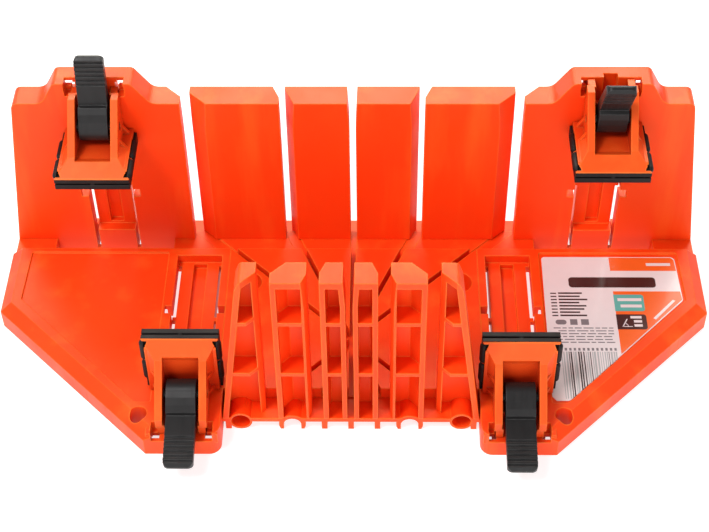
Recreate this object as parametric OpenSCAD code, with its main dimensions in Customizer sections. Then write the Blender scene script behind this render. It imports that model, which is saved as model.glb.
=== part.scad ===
// Plastic mitre box: a channel between a tall slotted fence and a slotted
// front wall, two wide wings, and four sliding cam clamps.
// X runs along the fence, Y runs towards the back, Z is up.
// X = 0 is the middle, Y = 0 the fence face, Z = 0 the resting plane.
// All saw cuts pass through one point on the middle line of the channel.

/* [Base] */
// overall length along the fence
base_l = 315; // [280:1:340]
// height of the channel floor and wings
deck_z = 13.2; // [10:0.2:18]
// height of the ledge at the foot of the fence
foot_z = 7.7; // [5:0.1:10]
// depth of the ledge in front of the fence
ledge_d = 11.3; // [8:0.1:14]
// front edge of the wings, measured from the fence face
wing_front = 118.6; // [110:0.2:126]
// distance from the fence face to the back edge of the rear flange
flange_back = 16.4; // [12:0.2:20]
// thickness of the rear flange
flange_z = 3.7; // [2:0.1:5]
// where the straight side of a wing turns into the diagonal
side_turn = 47.3; // [40:0.1:55]
// inner edge of the wings beside the front wall
wing_inner = 54.3; // [50:0.1:58]
// width of the bevel along the wing edges
bevel_w = 5; // [2:0.1:8]
// drop of the bevel along the wing edges
bevel_h = 4; // [2:0.1:6]
// diameter of the bench screw holes
screw_d = 7.4; // [5:0.1:9]
// diameter of the round sockets in the channel floor
socket_d = 12.4; // [10:0.1:14]

/* [Fence] */
// height of the plain part of the fence
fence_top = 90.6; // [80:0.2:100]
// height of the raised ends
hump_top = 101.6; // [92:0.2:112]
// thickness of the fence
fence_t = 11.6; // [9:0.1:14]
// half length of the fence at its foot
fence_half = 156.8; // [140:0.1:160]
// half length of the fence at its top
fence_half_top = 147.2; // [135:0.1:158]

/* [Front wall] */
// height of the front wall
wall_top = 90.6; // [80:0.2:100]
// inner face of the front wall, measured from the fence face
wall_in = 93.8; // [85:0.1:100]
// outer edge of the front wall ribs
wall_out = 105.1; // [98:0.1:112]

/* [Saw cuts] */
// distance from the fence face to the point where all cuts cross
cross_y = 66.2; // [55:0.1:75]
// width of a saw cut in the walls
kerf_w = 2.9; // [2:0.1:4]
// width of a saw groove in the channel floor
groove_w = 2.2; // [1.5:0.1:3]
// extra half width at the top of a saw cut
flare_w = 0.75; // [0.2:0.05:1.2]
// height over which a saw cut opens out
flare_h = 14; // [6:0.5:20]

/* [Moulding] */
// general wall thickness
wall = 2.2; // [1.6:0.1:3]

/* [Clamp channels] */
// middle of the channels in the wings
table_cx = 70.2; // [65:0.1:76]
// middle of the channels in the fence
fence_cx = 110.2; // [104:0.1:116]
// width of a channel
chan_w = 20.4; // [18:0.1:24]
// depth of a channel
chan_d = 4.6; // [3:0.1:6]
// width of the side slits
slit_w = 1.6; // [1.2:0.1:2.5]

/* [Clamps] */
// width of the jaw pad
jaw_w = 32; // [26:0.5:38]
// height of the jaw pad
jaw_h = 31; // [24:0.5:36]
// thickness of the jaw pad
jaw_t = 5.3; // [3:0.1:7]
// height of the left fence clamp, pad face above the resting plane
left_clamp_z = 69.5; // [20:0.1:72]
// height of the right fence clamp, pad face above the resting plane
right_clamp_z = 73.7; // [20:0.1:74]
// pad face of the left table clamp, measured from the fence face
left_table_y = 87.6; // [14:0.1:90]
// pad face of the right table clamp, measured from the fence face
right_table_y = 88.9; // [14:0.1:90]
// lever length from its pivot
lever_l = 32.5; // [26:0.5:38]
// lever angle of the table clamps
table_lever = -14; // [-14:1:86]
// lever angle of the left fence clamp
left_lever = -11; // [-14:1:86]
// lever angle of the right fence clamp
right_lever = 31; // [-14:1:86]

/* [Hidden] */
$fn = 48;
orange = [0.95, 0.24, 0.06];
amber = [0.97, 0.38, 0.12];
black = [0.12, 0.12, 0.12];
paper = [0.93, 0.90, 0.88];
c45 = cross_y;
c22 = cross_y * tan(22.5);
end_x = 74.3;
side_x = base_l / 2;
corner_x = side_x - (wing_front - side_turn);
split_x = 56.5;
pocket_a = 83.7;
pocket_b = 138.8;
sill_a = 4.8;
sill_b = 7.0;
slit_in = chan_w / 2 - slit_w;
pivot_y = -15.5;
pivot_z = 8.0;
trunnion_r = 2.0;
arm_w = 12.4;
cav_w = 15.2;
body_w = 21.4;

// ---------- small helpers ----------

function unit(v) = v / norm(v);

// corner i of a polygon given as [x, y, radius], rounded with n steps
function corner(p, i, n) =
  let (m = len(p), a = p[(i + m - 1) % m], b = p[i], c = p[(i + 1) % m])
  let (u = unit([a.x - b.x, a.y - b.y]), v = unit([c.x - b.x, c.y - b.y]), r = b.z)
  let (h = acos(max(-1, min(1, u * v))) / 2, w = unit(u + v))
  let (o = [b.x, b.y] + w * r / sin(h), s = o + (-w) * r)
  r == 0 ? [[b.x, b.y]] :
  let (t0 = [b.x, b.y] + u * r / tan(h) - o, t1 = [b.x, b.y] + v * r / tan(h) - o)
  [for (k = [0 : n]) o + r * unit(t0 * (1 - k / n) + t1 * (k / n))];

function soften(p, n = 6) = [for (i = [0 : len(p) - 1]) each corner(p, i, n)];

function flip(p) = [for (i = [len(p) - 1 : -1 : 0]) [-p[i].x, p[i].y]];

// a block given by its low and high corners
module box(a, b) {
  translate(a)
    cube(b - a);
}

// a profile in X and Z pushed back along Y from y0 to y1
module slab(pts, y0, y1) {
  translate([0, y1, 0])
    rotate([90, 0, 0])
      linear_extrude(height = y1 - y0)
        polygon(pts);
}

// a profile in Y and Z pushed along X from x0 to x1
module bar(pts, x0, x1) {
  translate([x0, 0, 0])
    rotate([90, 0, 90])
      linear_extrude(height = x1 - x0)
        polygon(pts);
}

// everything on one side of a saw cut that starts at x = c on the fence
// and turns by a degrees; g moves the boundary away from the cut
module beyond(c, a, keep, g, top) {
  near = keep * (kerf_w / 2 + g);
  high = keep * (kerf_w / 2 + flare_w * (1 + 1 / flare_h) + g);
  translate([c, 0, 0])
    rotate([0, 0, a])
      slab([[near, -1], [near, top - flare_h], [high, top + 1], [-keep * 90, top + 1], [-keep * 90, -1]],
        -200, 200);
}

// a straight band along a saw cut
module along_cut(c, a, w, z0, z1) {
  translate([c, 0, 0])
    rotate([0, 0, a])
      box([-w / 2, -220, z0], [w / 2, 60, z1]);
}

cuts = [[-c45, 45], [-c22, 22.5], [0, 0], [c22, -22.5], [c45, -45]];

// ---------- fence ----------

cell_z = [[foot_z + wall, 33], [35, 60.5], [62.5, fence_top - 2.6]];

// plain fence block between x1 and x2, trimmed by two saw cuts
module fence_block(x1, x2, left, right) {
  color(orange)
    difference() {
      union() {
        box([x1, 0, foot_z], [x2, 6.1, fence_top]);
        box([x1, 6.1, flange_z], [x2, fence_t, fence_top]);
      }
      beyond(left[0], left[1], 1, 0, fence_top);
      beyond(right[0], right[1], -1, 0, fence_top);
      for (c = cell_z)
        difference() {
          box([x1 + wall, wall, c[0]], [x2 - wall, fence_t + 1, c[1]]);
          beyond(left[0], left[1], 1, wall, fence_top);
          beyond(right[0], right[1], -1, wall, fence_top);
        }
      slab([[x1 + wall + 2, 0], [x2 - wall - 2, 0], [x2 - wall - 2, 9.9], [x1 + wall + 2, 9.9]], 8.5, fence_t + 1);
    }
}

function end_outline() = soften([[-fence_half, foot_z, 0], [-end_x, foot_z, 0], [-end_x, fence_top, 0],
  [-86.5, fence_top, 5], [-94.3, hump_top, 3], [-127.6, hump_top, 3], [-133.6, fence_top, 5],
  [-fence_half_top + 0.3, fence_top, 3]]);

// channel with two rails, a middle groove, two slits on each side and the
// wide mouths where the clamp hooks go in,
// cut into a plate whose face is z = 0; it runs along +Y from 0 to len
module channel_cut(run, notch, mouth, stop) {
  half = chan_w / 2;
  box([-half, 0, -chan_d], [half, run + 10, 5]);
  box([-3, 1.2, -chan_d - 2.6], [3, run + 10, 0]);
  for (s = [-1, 1])
    mirror([s < 0 ? 1 : 0, 0, 0]) {
      box([slit_in, 2.5, -30], [half, notch + 0.6, 0]);
      box([slit_in, notch + 2.8, -30], [half, run - stop, 0]);
      box([half - 0.1, notch - 2.2, -30], [half + 3.2, notch + 2.2, 5]);
      box([half - 0.7, run - 4.7, -30], [half + 2.8, run - 1.7, 0]);
      box([half - 1, run - mouth, -chan_d], [half + 2.6, run + 10, 5]);
    }
}

module fence_end() {
  run = hump_top - 14;
  color(orange)
    difference() {
      union() {
        difference() {
          slab(end_outline(), 0, fence_t);
          beyond(-c45, 45, -1, 0, fence_top);
          difference() {
            slab(soften([[-fence_half + 4.6, foot_z + wall, 0], [-end_x - wall, foot_z + wall, 0],
              [-end_x - wall, fence_top - 2.6, 0], [-87.6, fence_top - 2.6, 4], [-96, hump_top - 2.6, 2],
              [-126, hump_top - 2.6, 2], [-132.2, fence_top - 2.6, 4], [-fence_half_top + 2.4, fence_top - 2.6, 1]]),
              wall, fence_t + 1);
            beyond(-c45, 45, -1, wall, fence_top);
            for (z = [33, 60.5])
              box([-170, 0, z], [-60, 20, z + 2]);
            box([-fence_cx - chan_w / 2 - 2.2, 0, 0], [-fence_cx + chan_w / 2 + 2.2, 6.8, 120]);
            box([-fence_cx - chan_w / 2 - 4.8, 0, 6 + run], [-fence_cx + chan_w / 2 + 4.8, 6.8, 120]);
            box([-fence_cx - 5.2, 0, 0], [-fence_cx + 5.2, 9.4, 120]);
            for (s = [-1, 1])
              translate([-fence_cx + s * (slit_in - 0.7), 0, 0])
                box([-0.7, 0, 0], [0.7, 11, 120]);
          }
        }
        box([-pocket_b, 0, 0], [-pocket_a, wall, foot_z + wall]);
      }
      translate([-fence_cx, 0, 14])
        rotate([90, 0, 0])
          channel_cut(run, 23.6, 6.9, 2.6);
      for (s = [-1, 1])
        translate([-fence_cx + s * (slit_in + slit_w / 2), 0, 0])
          box([-slit_w / 2, -1, 2], [slit_w / 2, fence_t + 1, 18]);
      for (s = [-1, 1])
        translate([-fence_cx + s * (slit_in + 2.6), 0, 0])
          box([-2.6, 6.8, foot_z + wall], [2.6, fence_t + 1, hump_top - 2.6]);
      box([-170, 6.1, foot_z - 1], [-60, 20, foot_z]);
    }
}

module fence_end_left() {
  fence_end();
}

module fence_end_right() {
  mirror([1, 0, 0])
    fence_end();
}

module fence_block_b() {
  fence_block(-70.6, -31.6, cuts[0], cuts[1]);
}

module fence_block_c() {
  fence_block(-29.3, 5, cuts[1], cuts[2]);
}

module fence_block_d() {
  fence_block(-5, 29.3, cuts[2], cuts[3]);
}

module fence_block_e() {
  fence_block(31.6, 70.6, cuts[3], cuts[4]);
}

// ---------- front wall ----------

tube_x = 46.6;
tube_z = 4.95;
tube_r = 4.9;
arch_x = 24.8;
arch_z = 3.0;
wall_cells = [[sill_b, 34.9], [36.7, 65.8], [67.6, wall_top - 3.2]];

// outside of the tubes and arches in the front sill
module sill_rounds() {
  for (s = [-1, 1]) {
    translate([s * tube_x, -wall_out, tube_z])
      rotate([-90, 0, 0])
        cylinder(r = tube_r, h = wall_out - wall_in);
    translate([s * arch_x, -wall_out, arch_z])
      rotate([-90, 0, 0])
        cylinder(r = 5.7, h = wall_out - wall_in);
  }
}

// hollow post of the front wall, open to the front; a lone saw cut at one
// end shapes the cap and the shelves
module post(x1, x2, skin_cut, open_cut) {
  color(orange)
    difference() {
      box([x1, -wall_out, sill_b], [x2, -wall_in, wall_top]);
      beyond(skin_cut[0], skin_cut[1], 1, 0, wall_top);
      beyond(open_cut[0], open_cut[1], -1, 0, wall_top);
      for (c = wall_cells)
        difference() {
          box([x1 + wall, -wall_out - 1, c[0]], [x2 - wall, -wall_in - 2, c[1]]);
          beyond(skin_cut[0], skin_cut[1], 1, wall, wall_top);
        }
      sill_rounds();
    }
}

module post_end() {
  low = 54;
  high = 44.4;
  inner = 36;
  slope = (low - high) / (wall_top - 6 - sill_b);
  color(orange)
    difference() {
      slab(soften([[-low, sill_b, 0], [-inner, sill_b, 0], [-inner, wall_top, 0], [-42.6, wall_top, 2],
        [-high, wall_top - 5, 6]]), -wall_out, -wall_in);
      beyond(c45, -45, -1, 0, wall_top);
      for (c = wall_cells)
        slab([[-low + slope * (c[0] - sill_b) + 2.4, c[0]], [-inner - 2, c[0]], [-inner - 2, c[1]],
          [-low + slope * (c[1] - sill_b) + 2.4, c[1]]], -wall_out - 1, -wall_in - 2);
      sill_rounds();
    }
}

module post_a() {
  post_end();
}

module post_f() {
  mirror([1, 0, 0])
    post_end();
}

module post_b() {
  post(-30.5, -16.4, cuts[4], cuts[3]);
}

module post_c() {
  color(orange)
    difference() {
      box([-11.4, -wall_out, sill_b], [5, -wall_in, wall_top]);
      beyond(c22, -22.5, 1, 0, wall_top);
      beyond(0, 0, -1, 0, wall_top);
      for (c = wall_cells)
        difference() {
          box([-11.4 + wall, -wall_out - 1, c[0]], [5, -wall_in - 2, c[1]]);
          beyond(c22, -22.5, 1, wall, wall_top);
          beyond(0, 0, -1, 2, wall_top);
        }
    }
}

module post_d() {
  mirror([1, 0, 0])
    post_c();
}

module post_e() {
  mirror([1, 0, 0])
    post_b();
}

// ---------- base ----------

module front_sill() {
  color(orange)
    difference() {
      union() {
        box([-wing_inner, -wall_out, sill_a], [wing_inner, -wall_in, sill_b]);
        for (x = [-51.9, -28.7, -20.9, -11.2, 0, 11.2, 20.9, 28.7, 51.9])
          box([x - 1.2, -wall_out, 0], [x + 1.2, -wall_in, sill_a]);
        sill_rounds();
      }
      for (s = [-1, 1]) {
        translate([s * tube_x, -wall_out - 1, tube_z])
          rotate([-90, 0, 0])
            cylinder(r = 4.0, h = wall_out - wall_in + 2);
        translate([s * arch_x, -wall_out - 1, arch_z])
          rotate([-90, 0, 0])
            cylinder(r = 3.7, h = wall_out - wall_in + 2);
        translate([s * arch_x, 0, 0])
          box([-3.7, -wall_out - 1, -8], [3.7, -wall_in + 1, arch_z]);
      }
      box([-60, -120, -10], [60, -80, 0]);
    }
}

module deck_centre() {
  color(orange)
    difference() {
      union() {
        box([-split_x, -wall_in, deck_z - 2.4], [split_x, -ledge_d, deck_z]);
        box([-split_x, -ledge_d - 2, 0], [split_x, -ledge_d, deck_z]);
        box([-split_x, -wall_in, 4.8], [split_x, -wall_in + 2, deck_z]);
        intersection() {
          box([-split_x, -wall_in, 5.3], [split_x, -ledge_d, deck_z]);
          for (c = cuts)
            along_cut(c[0], c[1], groove_w + 4, 5.3, deck_z - 1);
        }
        for (s = [-1, 1])
          translate([s * 47.3, -32.5, 0])
            cylinder(d = socket_d + 3.6, h = deck_z - 1);
      }
      for (c = cuts)
        along_cut(c[0], c[1], groove_w, foot_z, deck_z + 1);
      for (s = [-1, 1])
        translate([s * 47.3, -32.5, 2])
          cylinder(d = socket_d, h = 20);
    }
}

// outline of the left wing, drawn in by d
module wing_outline(d) {
  k = d * tan(22.5);
  polygon(soften([[-side_x + d, -side_turn - k, 0], [-corner_x - k, -wing_front + d, 0],
    [-wing_inner - d, -wing_front + d, max(0.5, 5 - d)], [-wing_inner - d, -wall_in - d, 0],
    [-split_x - d, -wall_in, 0], [-split_x - d, -ledge_d - d, 0], [-side_x + d, -ledge_d - d, 0]]));
}

// solid wing with bevelled outer edges, drawn in by d
module wing_solid(d) {
  top = deck_z - (d > 0 ? 2.4 : 0);
  edge = side_x - d;
  difference() {
    translate([0, 0, d > 0 ? -1 : 0])
      linear_extrude(height = top + (d > 0 ? 1 : 0))
        wing_outline(d);
    slab([[-edge - 1, top - bevel_h * (1 + 1 / bevel_w)], [-edge + bevel_w + 1, top + bevel_h / bevel_w],
      [-edge - 1, top + 4]], -70, 5);
    translate([-edge, -side_turn - d * tan(22.5), -0.15])
      rotate([0, 0, 45])
        slab([[-1, top - bevel_h * (1 + 1 / bevel_w)], [bevel_w + 1, top + bevel_h / bevel_w], [-1, top + 4]],
          -110, 20);
  }
}

module wing() {
  color(orange)
    difference() {
      union() {
        difference() {
          wing_solid(0);
          wing_solid(2.4);
        }
        translate([-table_cx, 0, 0]) {
          box([-chan_w / 2 - 2.2, -wing_front + 1, 6.4], [chan_w / 2 + 2.2, -15.8 + 2, deck_z - 1]);
          box([-chan_w / 2 - 4.8, -wing_front + 1, 6.4], [chan_w / 2 + 4.8, -110.4, deck_z - 1]);
          for (s = [-1, 1])
            translate([s * (slit_in - 0.7), 0, 0])
              box([-0.7, -wing_front + 1, 1], [0.7, -15.8 + 2, deck_z - 5]);
          box([-5.2, -wing_front + 1, 3.8], [5.2, -15.8 + 2, deck_z - 5]);
        }
        intersection() {
          wing_solid(0);
          translate([-89, -107.5, 0])
            cylinder(d = screw_d + 3.4, h = deck_z - 1);
        }
      }
      translate([-table_cx, -15.8, deck_z])
        rotate([0, 0, 180])
          channel_cut(wing_front - 15.8, 33.3, 6.9, 4.4);
      translate([-89, -107.5, -1])
        cylinder(d = screw_d, h = 20);
      translate([0, 0, deck_z - 0.8])
        linear_extrude(height = 2)
          polygon(soften([[-147.6, -13.8, 1], [-148.3, -43, 2], [-91.2, -101.3, 3], [-84.6, -101.3, 1],
            [-84.6, -13.8, 1]]));
    }
}

module wing_left() {
  wing();
}

module wing_right() {
  mirror([1, 0, 0])
    wing();
}

module rear_sill() {
  low = 5.3;
  color(orange)
    difference() {
      union() {
        box([-fence_half, -ledge_d, low], [fence_half, 6.1, foot_z]);
        box([-fence_half, -2, 0], [fence_half, 2, foot_z]);
        box([-fence_half, 4.1, 0], [fence_half, 6.1, foot_z]);
        box([-fence_half, 6.1, 0], [fence_half, flange_back, flange_z]);
        for (s = [-1, 1])
          translate([s * (fence_half - 1.1), 0, 0])
            box([-1.1, -ledge_d, 0], [1.1, 6.1, foot_z]);
      }
      for (s = [-1, 1])
        translate([s * (pocket_a + pocket_b) / 2, 0, 0])
          box([-(pocket_b - pocket_a) / 2, -ledge_d - 1, -1], [(pocket_b - pocket_a) / 2, wall, 20]);
      for (s = [-1, 1])
        for (t = [-1, 1])
          translate([s * fence_cx + t * (slit_in + slit_w / 2), 0, 0])
            box([-slit_w / 2, -1, -1], [slit_w / 2, fence_t, 18]);
      for (c = cuts)
        along_cut(c[0], c[1], c[1] == 0 ? kerf_w : kerf_w + 2.4, foot_z - 0.6, foot_z + 1);
    }
}

module label_sheet() {
  color(paper)
    translate([0, 0, deck_z - 0.8])
      linear_extrude(height = 0.25)
        polygon(soften([[85.8, -16, 1.5], [146.2, -16, 2], [147, -42.6, 2], [116.5, -74.4, 1], [92.2, -99.6, 2],
          [86.6, -99.6, 0.5], [84.9, -97.4, 0.5]]));
}

// ---------- clamps ----------
// local frame: the pad face is y = 0, the lever side is -Y, the surface the
// clamp slides on is z = 0

module table_place(s) {
  translate([s * table_cx, s < 0 ? -left_table_y : -right_table_y, deck_z])
    children();
}

module fence_place(s, z) {
  translate([s * fence_cx, 0, z])
    rotate([0, 180, 0])
      rotate([90, 0, 0])
        children();
}

module housing() {
  half = body_w / 2;
  cav = cav_w / 2;
  jaw = jaw_w / 2 - 0.2;
  color(amber)
    difference() {
      union() {
        // jaw plate
        bar([[-jaw_t, 0.6], [-jaw_t, jaw_h - 1], [-jaw_t - 2.2, 26.4], [-jaw_t - 2.2, 0.6]], -jaw + 1, jaw - 1);
        // flared cowl behind the pad
        intersection() {
          bar([[-jaw_t, 12], [-jaw_t, jaw_h], [-jaw_t - 4.7, 22.4], [-jaw_t - 4.7, 12]], -20, 20);
          linear_extrude(height = 60)
            polygon([[-jaw - 0.2, -jaw_t], [-half, -jaw_t - 4.7], [half, -jaw_t - 4.7], [jaw + 0.2, -jaw_t]]);
        }
        // gussets between the side walls and the jaw plate
        for (z = [2.4, 12])
          translate([0, 0, z])
            linear_extrude(height = 1.8)
              polygon([[-jaw + 1, -jaw_t], [-half, -jaw_t - 6.5], [half, -jaw_t - 6.5], [jaw - 1, -jaw_t]]);
        // side walls
        bar([[-jaw_t, 0.3], [-jaw_t, 22], [-jaw_t - 4.6, 22.4], [-27.6, 5], [-27.6, 0.3]], -half, half);
        // foot between the channel walls
        box([-9.9, -27.2, -chan_d + 0.3], [9.9, -jaw_t - 1, 2]);
      }
      // space for the lever
      bar([[-jaw_t - 2.2, 1.4], [-jaw_t - 2.2, 20], [-jaw_t - 4.6, 25], [-40, 40], [-40, 1.4]], -cav, cav);
      box([-6.9, -40, -10], [6.9, -18.5, 3]);
      // hollow under the foot
      box([-7.4, -25, -10], [7.4, -jaw_t - 3.2, -0.6]);
      // room for the ribs on the pad's sides
      for (s = [-1, 1])
        for (z = [6.2, 18.3])
          translate([s * (jaw_w / 2 - 0.8), -jaw_t + 0.2, z - 0.1])
            cylinder(r = 1.9, h = 11.7);
      // lever bearings
      translate([-20, pivot_y, pivot_z])
        rotate([0, 90, 0])
          cylinder(r = trunnion_r + 0.08, h = 40);
    }
  // hooks through the slits
  color(amber)
    for (s = [-1, 1])
      mirror([s < 0 ? 1 : 0, 0, 0]) {
        box([slit_in + 0.3, -24.5, -9.2], [chan_w / 2 - 0.3, -10, -chan_d + 0.3]);
        box([chan_w / 2 - 0.3, -24.5, -9.2], [chan_w / 2 + 1, -10, -7.2]);
      }
}

module pad() {
  half = jaw_w / 2;
  color(black)
    difference() {
      union() {
        box([-half, -jaw_t, 0.7], [half, 0, jaw_h]);
        for (s = [-1, 1])
          for (z = [6.2, 18.3])
            translate([s * (half - 0.8), -jaw_t + 0.2, z]) {
              translate([0, 0, 1.8])
                cylinder(r = 1.8, h = 7.9);
              translate([0, 0, 1.8])
                sphere(r = 1.8);
              translate([0, 0, 9.7])
                sphere(r = 1.8);
            }
      }
      // seam line round the edge
      difference() {
        box([-half - 1, -3.4, jaw_h - 1.1], [half + 1, -2.3, jaw_h + 1]);
        box([-0.8, -4, 0], [0.8, 0, jaw_h - 0.4]);
      }
      // room for the jaw plate edges
      box([-half + 1, -jaw_t - 3, 0], [half - 1, -jaw_t, jaw_h + 1]);
    }
}

// lever with its pivot at the origin, pointing along -Y
module lever_shape() {
  color(black)
    difference() {
      union() {
        // eccentric barrel
        translate([-arm_w / 2, 0.7, 0])
          rotate([0, 90, 0])
            cylinder(r = 5.5, h = arm_w);
        // arm
        bar([[-2, -5.1], [-9, -5.3], [-lever_l + 1.6, -4.2], [-lever_l, -3], [-lever_l, -1.6], [-lever_l + 1.4, -0.4],
          [-9.9, -0.6], [-9.5, 1.3], [-7, 2.9], [-4, 4.3], [-0.6, 5.3]], -arm_w / 2, arm_w / 2);
        // trunnions
        translate([-body_w / 2 + 0.3, 0, 0])
          rotate([0, 90, 0])
            cylinder(r = trunnion_r, h = body_w - 0.6);
      }
      // grip ribs
      for (k = [0 : 5])
        box([-arm_w, -lever_l + 1.9 + 2.1 * k, -1.1], [arm_w, -lever_l + 2.8 + 2.1 * k, 2]);
      // rounded corners of the grip
      for (s = [-1, 1])
        translate([s * (arm_w / 2 - 2.4), -lever_l + 2.4, -8])
          difference() {
            translate([s > 0 ? 0 : -3, -3, 0])
              cube([3, 3, 16]);
            cylinder(r = 2.4, h = 16);
          }
    }
}

module lever(a) {
  translate([0, pivot_y, pivot_z])
    rotate([-a, 0, 0])
      lever_shape();
}

module housing_fence_left() {
  fence_place(-1, left_clamp_z)
    housing();
}

module pad_fence_left() {
  fence_place(-1, left_clamp_z)
    pad();
}

module lever_fence_left() {
  fence_place(-1, left_clamp_z)
    lever(left_lever);
}

module housing_fence_right() {
  fence_place(1, right_clamp_z)
    housing();
}

module pad_fence_right() {
  fence_place(1, right_clamp_z)
    pad();
}

module lever_fence_right() {
  fence_place(1, right_clamp_z)
    lever(right_lever);
}

module housing_table_left() {
  table_place(-1)
    housing();
}

module pad_table_left() {
  table_place(-1)
    pad();
}

module lever_table_left() {
  table_place(-1)
    lever(table_lever);
}

module housing_table_right() {
  table_place(1)
    housing();
}

module pad_table_right() {
  table_place(1)
    pad();
}

module lever_table_right() {
  table_place(1)
    lever(table_lever);
}

deck_centre();
wing_left();
wing_right();
rear_sill();
front_sill();
fence_end_left();
fence_block_b();
fence_block_c();
fence_block_d();
fence_block_e();
fence_end_right();
post_a();
post_b();
post_c();
post_d();
post_e();
post_f();
label_sheet();
housing_fence_left();
pad_fence_left();
lever_fence_left();
housing_fence_right();
pad_fence_right();
lever_fence_right();
housing_table_left();
pad_table_left();
lever_table_left();
housing_table_right();
pad_table_right();
lever_table_right();
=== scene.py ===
"""Looks of the plastic mitre box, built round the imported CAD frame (metres, +Z up)."""

import math
import random

import bmesh
import bpy
from mathutils import Matrix, Vector


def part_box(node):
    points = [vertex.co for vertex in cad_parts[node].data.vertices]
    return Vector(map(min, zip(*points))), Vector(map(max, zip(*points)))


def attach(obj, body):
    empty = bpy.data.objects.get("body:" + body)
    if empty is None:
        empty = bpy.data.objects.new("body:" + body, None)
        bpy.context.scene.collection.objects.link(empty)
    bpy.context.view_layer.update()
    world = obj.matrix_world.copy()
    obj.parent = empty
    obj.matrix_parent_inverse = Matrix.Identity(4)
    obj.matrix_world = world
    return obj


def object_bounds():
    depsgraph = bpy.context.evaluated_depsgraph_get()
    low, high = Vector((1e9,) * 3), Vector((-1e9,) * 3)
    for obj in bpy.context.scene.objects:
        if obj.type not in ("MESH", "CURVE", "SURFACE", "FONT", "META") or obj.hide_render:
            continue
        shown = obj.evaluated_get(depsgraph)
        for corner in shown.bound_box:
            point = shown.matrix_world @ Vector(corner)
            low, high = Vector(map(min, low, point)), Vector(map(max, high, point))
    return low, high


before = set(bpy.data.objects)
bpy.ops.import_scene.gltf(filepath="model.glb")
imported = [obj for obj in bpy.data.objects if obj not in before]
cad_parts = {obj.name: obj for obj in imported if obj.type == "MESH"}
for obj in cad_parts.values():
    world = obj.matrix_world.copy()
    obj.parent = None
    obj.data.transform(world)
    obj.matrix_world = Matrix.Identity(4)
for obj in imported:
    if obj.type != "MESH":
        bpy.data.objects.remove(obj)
cad_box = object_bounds()

MM = 0.001
BASE = "mitre_box"


# ---------- node helpers ----------

class Graph:
    """A small wrapper that adds and links shader nodes."""

    def __init__(self, name):
        self.mat = bpy.data.materials.new(name)
        self.mat.use_nodes = True
        self.tree = self.mat.node_tree
        self.shader = self.tree.nodes["Principled BSDF"]

    def add(self, kind, **sockets):
        node = self.tree.nodes.new(kind)
        for key, value in sockets.items():
            self.put(node.inputs[key.replace("_", " ")], value)
        return node

    def put(self, socket, value):
        if isinstance(value, bpy.types.NodeSocket):
            self.tree.links.new(value, socket)
        else:
            socket.default_value = value

    def out(self, name, value):
        self.put(self.shader.inputs[name], value)

    def place(self, scale=(1, 1, 1)):
        """Object coordinates in metres, stretched by scale."""
        coord = self.add("ShaderNodeTexCoord")
        mapping = self.add("ShaderNodeMapping", Vector=coord.outputs["Object"], Scale=scale)
        return mapping.outputs["Vector"]

    def noise(self, scale, detail=2.0, stretch=(1, 1, 1), rough=0.5):
        node = self.add("ShaderNodeTexNoise", Vector=self.place(stretch), Scale=scale, Detail=detail)
        node.inputs["Roughness"].default_value = rough
        return node.outputs["Fac"]

    def remap(self, value, lo, hi, to_lo, to_hi):
        """Maps lo..hi to to_lo..to_hi and clamps."""
        node = self.tree.nodes.new("ShaderNodeMapRange")
        self.put(node.inputs["Value"], value)
        for key, number in (("From Min", lo), ("From Max", hi), ("To Min", to_lo), ("To Max", to_hi)):
            node.inputs[key].default_value = number
        return node.outputs["Result"]

    def mix(self, fac, a, b, mode="MIX"):
        node = self.tree.nodes.new("ShaderNodeMix")
        node.data_type = "RGBA"
        node.blend_type = mode
        self.put(node.inputs[0], fac)
        self.put(node.inputs[6], a)
        self.put(node.inputs[7], b)
        return node.outputs[2]

    def maths(self, op, a, b=0.0):
        node = self.tree.nodes.new("ShaderNodeMath")
        node.operation = op
        self.put(node.inputs[0], a)
        self.put(node.inputs[1], b)
        return node.outputs[0]

    def rounded(self, radius):
        """Normals that round every edge by radius."""
        node = self.tree.nodes.new("ShaderNodeBevel")
        node.samples = 6
        node.inputs["Radius"].default_value = radius
        return node.outputs["Normal"]

    def edge_mask(self, radius, sharp):
        """Bright where the surface turns a corner."""
        geo = self.add("ShaderNodeNewGeometry")
        dot = self.tree.nodes.new("ShaderNodeVectorMath")
        dot.operation = "DOT_PRODUCT"
        self.put(dot.inputs[0], self.rounded(radius))
        self.put(dot.inputs[1], geo.outputs["Normal"])
        return self.remap(dot.outputs["Value"], 1.0, sharp, 0.0, 1.0)

    def painted_cavity_shade(self, reach, open_from, open_to):
        """Painted shade: one deep inside cavities, zero on open faces."""
        node = self.tree.nodes.new("ShaderNodeAmbientOcclusion")
        node.samples = 6
        node.inputs["Distance"].default_value = reach
        return self.remap(node.outputs["AO"], open_from, open_to, 1.0, 0.0)

    def bump(self, height, strength, depth, normal=None):
        node = self.tree.nodes.new("ShaderNodeBump")
        self.put(node.inputs["Height"], height)
        node.inputs["Strength"].default_value = strength
        node.inputs["Distance"].default_value = depth
        if normal is not None:
            self.put(node.inputs["Normal"], normal)
        return node.outputs["Normal"]


def rgb(r, g, b):
    return (r, g, b, 1.0)


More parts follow.
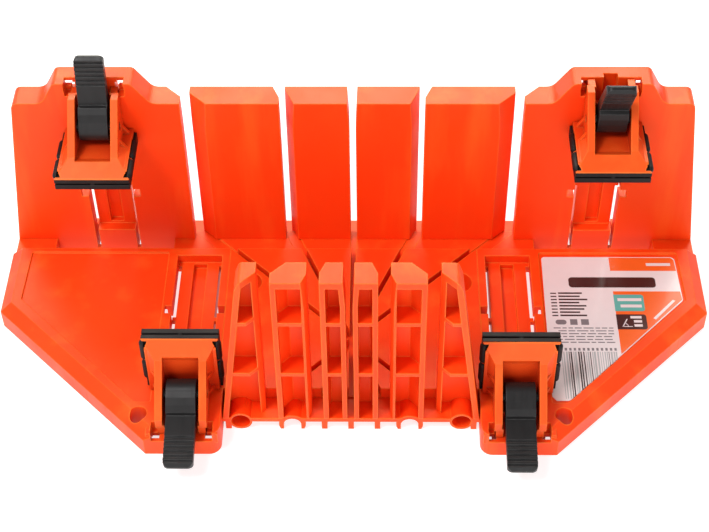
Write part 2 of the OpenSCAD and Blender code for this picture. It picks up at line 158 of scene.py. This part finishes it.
def moulded(name, base, deep, flow_and_highlight, rough, glow, reach, shade, open_to):
    """Satin moulded plastic: colour drift, flow marks, edges lightened as painted highlight, cavities
    darkened as painted shade, grain and scuffs.

    base and deep are its colours and the third colour is the pale tone of the flow marks and of the
    painted edge highlight; rough is its roughness and glow its subsurface share. Cavities within reach
    are darkened by shade as painted shade, up to faces that are open to open_to of their surroundings.
    """
    g = Graph(name)
    drift = g.noise(22, 3, (1, 1, 0.5))
    tint = g.mix(g.remap(drift, 0.3, 0.7, 0.0, 0.55), base, deep)
    flow = g.noise(60, 4, (1.0, 1.0, 0.12), 0.6)
    tint = g.mix(g.remap(flow, 0.52, 0.8, 0.0, 0.25), tint, flow_and_highlight)
    # painted highlight: every edge is lightened toward the pale colour
    tint = g.mix(g.maths("MULTIPLY", g.edge_mask(0.9 * MM, 0.8), 0.5), tint, flow_and_highlight)
    # painted shade: cavities within reach are darkened toward this deeper red
    dark = rgb(deep[0] * 0.55, deep[1] * 0.25, deep[2] * 0.4)
    tint = g.mix(g.maths("MULTIPLY", g.painted_cavity_shade(reach, 0.12, open_to), shade), tint, dark)
    g.out("Base Color", tint)
    scuff = g.noise(900, 2, (1.0, 0.06, 0.06), 0.7)
    patch = g.noise(45, 3)
    gloss = g.remap(patch, 0.3, 0.7, rough - 0.05, rough + 0.07)
    gloss = g.maths("ADD", gloss, g.remap(scuff, 0.62, 0.75, 0.0, 0.12))
    g.out("Roughness", gloss)
    grain = g.noise(2600, 3, (1, 1, 1), 0.6)
    wave = g.noise(70, 2)
    body = g.bump(wave, 0.25, 0.25 * MM, g.rounded(0.55 * MM))
    g.out("Normal", g.bump(grain, 0.10, 0.05 * MM, body))
    g.out("IOR", 1.5)
    g.out("Specular IOR Level", 0.42)
    g.out("Specular Tint", rgb(1.0, 0.80, 0.46))
    g.out("Subsurface Weight", glow)
    g.out("Subsurface Radius", (1.0, 0.22, 0.06))
    g.out("Subsurface Scale", 2.2 * MM)
    return g.mat


def black_plastic():
    """Lever plastic: charcoal with fine spark-eroded grain and rubbed edges."""
    g = Graph("lever_black")
    cloud = g.remap(g.noise(30, 3), 0.3, 0.7, 0.0, 1.0)
    base = g.mix(cloud, rgb(0.008, 0.0072, 0.0074), rgb(0.015, 0.014, 0.0142))
    rubbed = g.remap(g.noise(220, 4), 0.35, 0.6, 0.15, 0.7)
    worn = g.maths("MULTIPLY", g.edge_mask(0.7 * MM, 0.8), rubbed)
    g.out("Base Color", g.mix(worn, base, rgb(0.075, 0.072, 0.072)))
    scuff = g.noise(500, 3, (1.0, 0.15, 0.15), 0.7)
    g.out("Roughness", g.remap(scuff, 0.35, 0.7, 0.34, 0.52))
    grain = g.noise(3800, 2)
    g.out("Normal", g.bump(grain, 0.22, 0.06 * MM, g.rounded(0.6 * MM)))
    g.out("Specular IOR Level", 0.28)
    return g.mat


def pad_rubber():
    """Soft pad: matt black with dusty speckle."""
    g = Graph("pad_rubber")
    dust = g.remap(g.noise(700, 5, (1, 1, 1), 0.75), 0.55, 0.8, 0.0, 0.5)
    base = g.mix(dust, rgb(0.004, 0.0025, 0.0025), rgb(0.016, 0.011, 0.010))
    worn = g.maths("MULTIPLY", g.edge_mask(0.6 * MM, 0.8), 0.45)
    g.out("Base Color", g.mix(worn, base, rgb(0.035, 0.026, 0.024)))
    g.out("Roughness", g.remap(g.noise(90, 3), 0.3, 0.7, 0.5, 0.68))
    g.out("Specular IOR Level", 0.3)
    grain = g.noise(2200, 4, (1, 1, 1), 0.7)
    g.out("Normal", g.bump(grain, 0.3, 0.08 * MM, g.rounded(0.7 * MM)))
    return g.mat


def printed(name, colour, ink=0.0):
    """Printed film with a faint roll; ink adds mottling."""
    g = Graph(name)
    mottle = g.remap(g.noise(260, 4), 0.35, 0.7, 0.0, 0.10 + ink)
    darker = rgb(*(0.82 * channel for channel in colour[:3]))
    g.out("Base Color", g.mix(mottle, colour, darker))
    g.out("Roughness", g.remap(g.noise(35, 2), 0.3, 0.7, 0.30, 0.42))
    g.out("Normal", g.bump(g.noise(55, 2), 0.22, 0.12 * MM))
    g.out("Coat Weight", 0.25)
    g.out("Coat Roughness", 0.12)
    return g.mat


# moulded() paints shade into cavities and a highlight onto edges; the clamps get the deeper, wider
# painted shade
MOULDING = moulded("moulding_orange", base=rgb(0.93, 0.062, 0.0045), deep=rgb(0.84, 0.036, 0.003),
                   flow_and_highlight=rgb(1.0, 0.28, 0.035), rough=0.42, glow=0.16, reach=9 * MM, shade=0.3,
                   open_to=0.5)
CLAMP = moulded("clamp_orange", base=rgb(0.90, 0.088, 0.009), deep=rgb(0.82, 0.060, 0.006),
                flow_and_highlight=rgb(1.0, 0.26, 0.04), rough=0.38, glow=0.06, reach=16 * MM, shade=0.95,
                open_to=0.75)
LEVER = black_plastic()
RUBBER = pad_rubber()
FILM = printed("film_white", rgb(0.76, 0.69, 0.69))
FILM_ORANGE = printed("film_orange", rgb(0.86, 0.125, 0.014), ink=0.05)
FILM_TEAL = printed("film_teal", rgb(0.09, 0.42, 0.37))
FILM_DARK = printed("film_dark", rgb(0.030, 0.010, 0.010))
FILM_GREY = printed("film_grey", rgb(0.19, 0.17, 0.18))
FILM_SILVER = printed("film_silver", rgb(0.42, 0.42, 0.42))


def dress(node, material):
    """Gives a CAD node one material."""
    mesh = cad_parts[node].data
    mesh.materials.clear()
    mesh.materials.append(material)


def dress_all():
    """Every CAD node gets the plastic, rubber or film it is made of."""
    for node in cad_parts:
        if node.startswith("housing"):
            dress(node, CLAMP)
        elif node.startswith("pad"):
            dress(node, RUBBER)
        elif node.startswith("lever"):
            dress(node, LEVER)
        elif node == "label_sheet":
            dress(node, FILM)
        else:
            dress(node, MOULDING)


# ---------- printed sticker ----------

LABEL_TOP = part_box("label_sheet")[1][2]
FILM_T = 0.03 * MM
CORNER_STEPS = 6

# layout of the print, in millimetres
SPLIT = 116.4               # where the white half ends
RIGHT = 146.0               # right edge of the print
TOP = -16.4                 # top edge of the print
BAND = (-37.2, -24.6)       # white band across the colour field
SLANT_LOW = (116.6, -74.3)  # lower end of the slanted edge of the colour field
SLANT_HIGH = (147.0, -42.7)  # upper end of that edge
BOX_X = SPLIT - 0.1         # left side of the two coloured boxes
BOX_W = 13.2
BOX_R = 1.3
SIZE_BOX = (-49.1, 9.9)     # low side and height of the teal box
ANGLE_BOX = (-59.8, 8.8)    # low side and height of the dark box
NAMES = 8                   # rows of short and long bars
NAMES_TOP = -38.8
NAMES_PITCH = 1.9
SMALL = 6                   # rows of small broken bars
SMALL_TOP = -59.3
SMALL_PITCH = 1.65
SMALL_GAP = 0.8
STRIPES_TOP = -72.6
STRIPES_FOOT = -98.8
STRIPES_SLOPE = 1.041       # how fast the stripes' feet follow the slanted edge
MARKS = 13                  # small squares above the stripes


def film_piece(name, loops, material, layer=1):
    """Thin printed patches, given as closed loops of (x, y) in millimetres."""
    bm = bmesh.new()
    z0 = LABEL_TOP + (layer - 1) * FILM_T
    for loop in loops:
        low = [bm.verts.new((x * MM, y * MM, z0)) for x, y in loop]
        high = [bm.verts.new((x * MM, y * MM, z0 + FILM_T)) for x, y in loop]
        bm.faces.new(high)
        bm.faces.new(low[::-1])
        n = len(loop)
        for i in range(n):
            j = (i + 1) % n
            bm.faces.new((low[i], low[j], high[j], high[i]))
    bmesh.ops.recalc_face_normals(bm, faces=bm.faces)
    mesh = bpy.data.meshes.new(name)
    bm.to_mesh(mesh)
    bm.free()
    piece = bpy.data.objects.new(name, mesh)
    bpy.context.scene.collection.objects.link(piece)
    mesh.materials.append(material)
    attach(piece, BASE)
    return piece


def rect(x, y, w, h):
    """A rectangle from its low corner."""
    return [(x, y), (x + w, y), (x + w, y + h), (x, y + h)]


def round_rect(x, y, w, h, r, left=True):
    """A rectangle with round corners, all four or only the right-hand ones."""
    pts = []
    centres = [(x + w - r, y + r, -90, True), (x + w - r, y + h - r, 0, True),
               (x + r, y + h - r, 90, left), (x + r, y + r, 180, left)]
    square = {90: (x, y + h), 180: (x, y)}
    for cx, cy, start, soft in centres:
        if not soft:
            pts.append(square[start])
            continue
        for k in range(CORNER_STEPS + 1):
            a = math.radians(start + 90.0 * k / CORNER_STEPS)
            pts.append((cx + r * math.cos(a), cy + r * math.sin(a)))
    return pts


def slant(x):
    """The slanted edge of the colour field, as y for a given x."""
    (x0, y0), (x1, y1) = SLANT_LOW, SLANT_HIGH
    return y1 - (x1 - x) * (y1 - y0) / (x1 - x0)


def sticker_fields():
    """The two colour fields and the coloured boxes on the lower one."""
    top = [(SPLIT, BAND[1]), (RIGHT + 0.15, BAND[1]), (RIGHT - 0.15, TOP - 1.4), (RIGHT - 1.5, TOP),
           (SPLIT, TOP)]
    film_piece("label_field_top", [top], FILM_ORANGE)
    low = [(SPLIT, slant(SPLIT + 0.5)), (RIGHT + 0.5, slant(RIGHT + 0.5) + 0.9), (RIGHT + 0.7, -42.0),
           (RIGHT + 0.4, BAND[0]), (SPLIT, BAND[0])]
    film_piece("label_field_low", [low], FILM_ORANGE)
    for name, (y, high), ink in (("label_size_box", SIZE_BOX, FILM_TEAL),
                                 ("label_angle_box", ANGLE_BOX, FILM_DARK)):
        film_piece(name, [round_rect(BOX_X, y, BOX_W, high, BOX_R, left=False)], ink, 2)


def sticker_names(rng):
    """Rows of a short and a long bar."""
    bars = []
    for k in range(NAMES):
        y = NAMES_TOP - NAMES_PITCH * k
        bars.append(rect(88.3, y, 2.6, 0.7))
        bars.append(rect(91.8, y, 8.5 + 6.5 * rng.random(), 0.9))
    film_piece("label_lines_names", bars, FILM_DARK)


def sticker_small(rng):
    """Rows of small bars of uneven length."""
    small = []
    for k in range(SMALL):
        y = SMALL_TOP - SMALL_PITCH * k
        x = 88.2 + 2.2 * rng.random()
        while x < SPLIT - 3.4:
            w = min(1.6 + 3.4 * rng.random(), SPLIT - 2.0 - x)
            small.append(rect(x, y, w, 0.55))
            x += w + SMALL_GAP
    film_piece("label_lines_small", small, FILM_GREY)


def sticker_lines():
    """Grey bars where small print would be, and pale bars in the coloured boxes."""
    rng = random.Random(7)
    sticker_names(rng)
    sticker_small(rng)
    signs = [round_rect(89.4, -57.0, 4.8, 2.8, 1.3), rect(95.8, -57.2, 3.2, 3.3),
             rect(100.6, -57.2, 3.4, 3.3)]
    film_piece("label_signs", signs, FILM_GREY)
    pale = [rect(117.9, -43.1, 10.6, 1.7), rect(118.9, -46.9, 9.4, 1.7)]
    for k in range(3):
        longer = 1.3 if k == 0 else 0.0
        pale.append(rect(123.8 - longer, -53.4 - 2.4 * k, 3.6 + longer, 1.4))
    film_piece("label_marks_pale", pale, FILM, 3)
    film_piece("label_angle_sign", angle_sign(118.4, -58.3, 4.6), FILM, 3)
    film_piece("label_tag", [rect(133.0, -21.5, 11.0, 1.7)], FILM, 2)
    note = [(132.6, -53.2), (133.6, -54.0), (143.5, -42.9), (142.5, -42.2)]
    film_piece("label_note", [note], FILM, 2)


def angle_sign(x, y, size):
    """A small angle: a base line, a slanted line and an arc of short bars."""
    t = 0.35
    leg = [(x, y), (x + t * 1.6, y), (x + size * 0.62, y + size), (x + size * 0.5, y + size)]
    loops = [rect(x, y, size, t), leg]
    r0, r1 = size * 0.55, size * 0.55 + t
    for k in range(5):
        a, b = math.radians(8 + 11 * k), math.radians(8 + 11 * (k + 0.8))
        corners = ((r0, a), (r1, a), (r1, b), (r0, b))
        loops.append([(x + r * math.cos(t0), y + r * math.sin(t0)) for r, t0 in corners])
    return loops


def sticker_bars():
    """A block of upright stripes, cut off by the sticker's slanted edge."""
    rng = random.Random(21)
    grey, dark = [], []
    x = 90.5
    while x < 114.6:
        w = 0.25 + 0.6 * rng.random()
        foot = max(STRIPES_FOOT, -74.8 - (116.5 - x) * STRIPES_SLOPE)
        strong = rng.random() < 0.18
        stripe = [(x, foot), (x + w, foot + w), (x + w, STRIPES_TOP), (x, STRIPES_TOP)]
        (dark if strong else grey).append(stripe)
        x += w + 0.2 + 0.5 * rng.random()
    film_piece("label_stripes_grey", grey, FILM_SILVER)
    film_piece("label_stripes_dark", dark, FILM_DARK)
    marks = [rect(90.2 + 1.95 * k, -72.0, 1.0, 1.5) for k in range(MARKS)]
    film_piece("label_stripe_marks", marks, FILM_GREY)


def title_bar():
    """A plain rounded bar in the middle of the white band."""
    film_piece("label_title", [round_rect(97.0, -34.9, 39.0, 6.2, 1.6)], FILM_DARK, 3)


# ---------- stage ----------

FLOOR_HALF = 6.0
FLOOR_GAP = 0.0002     # keeps the floor off the underside
WORLD_STRENGTH = 0.42
LIGHT_TARGET = (0, -0.05, 0.04)


def stage_floor():
    """A plain pale floor under the part."""
    mat = Graph("floor_white")
    cloud = mat.remap(mat.noise(2.0, 2), 0.3, 0.7, 0, 1)
    mat.out("Base Color", mat.mix(cloud, rgb(0.50, 0.50, 0.50), rgb(0.53, 0.53, 0.53)))
    mat.out("Roughness", 0.75)
    mat.out("Emission Color", rgb(1, 1, 1))
    mat.out("Emission Strength", 0.72)
    mat.out("Specular IOR Level", 0.15)
    mesh = bpy.data.meshes.new("floor")
    h = FLOOR_HALF
    mesh.from_pydata([(-h, -h, 0), (h, -h, 0), (h, h, 0), (-h, h, 0)], [], [(0, 1, 2, 3)])
    floor = bpy.data.objects.new("floor", mesh)
    floor.location.z = cad_box[0][2] - FLOOR_GAP
    mesh.materials.append(mat.mat)
    bpy.context.scene.collection.objects.link(floor)


def soft_box(name, spot, size, power, colour=(1, 1, 1)):
    """An area light at spot that faces the part."""
    data = bpy.data.lights.new(name, "AREA")
    data.shape = "RECTANGLE"
    data.size, data.size_y = size
    data.energy = power
    data.color = colour
    lamp = bpy.data.objects.new(name, data)
    lamp.location = spot
    aim = Vector(LIGHT_TARGET) - Vector(spot)
    lamp.rotation_euler = aim.to_track_quat("-Z", "Y").to_euler()
    bpy.context.scene.collection.objects.link(lamp)


def light_stage():
    """A white room, a key from the front left, a low front fill and a wide back light."""
    world = bpy.data.worlds.new("studio")
    world.use_nodes = True
    background = world.node_tree.nodes["Background"]
    background.inputs["Color"].default_value = rgb(1, 1, 1)
    background.inputs["Strength"].default_value = WORLD_STRENGTH
    bpy.context.scene.world = world
    soft_box("key", (-0.50, -0.45, 1.10), (0.35, 0.35), 10)
    soft_box("fill", (0.25, -1.10, 0.38), (1.3, 0.5), 5)
    soft_box("back", (0.0, 1.05, 0.85), (1.6, 0.6), 24, (1.0, 0.98, 0.88))
    bpy.context.scene.view_settings.view_transform = "Standard"


EYE = (0.0117, -0.5123, 0.5305)
EYE_TURN = (46.55, -1.30, -0.84)  # pitch down, yaw and roll in degrees
LENS = 79.54


def front_camera():
    """A long lens from the front and above."""
    pitch, yaw, roll = (math.radians(a) for a in EYE_TURN)
    fwd = Vector((math.sin(yaw) * math.cos(pitch), math.cos(yaw) * math.cos(pitch), -math.sin(pitch)))
    side = Vector((math.cos(yaw), -math.sin(yaw), 0))
    up = side.cross(fwd)
    right = side * math.cos(roll) + up * math.sin(roll)
    top = up * math.cos(roll) - side * math.sin(roll)
    data = bpy.data.cameras.new("camera")
    data.sensor_width = 36
    data.lens = LENS
    data.clip_start = 0.01
    camera = bpy.data.objects.new("camera", data)
    turn = Matrix((right, top, -fwd)).transposed().to_4x4()
    camera.matrix_world = Matrix.Translation(EYE) @ turn
    bpy.context.scene.collection.objects.link(camera)
    bpy.context.scene.camera = camera


dress_all()
sticker_fields()
sticker_lines()
sticker_bars()
title_bar()
stage_floor()
light_stage()
front_camera()
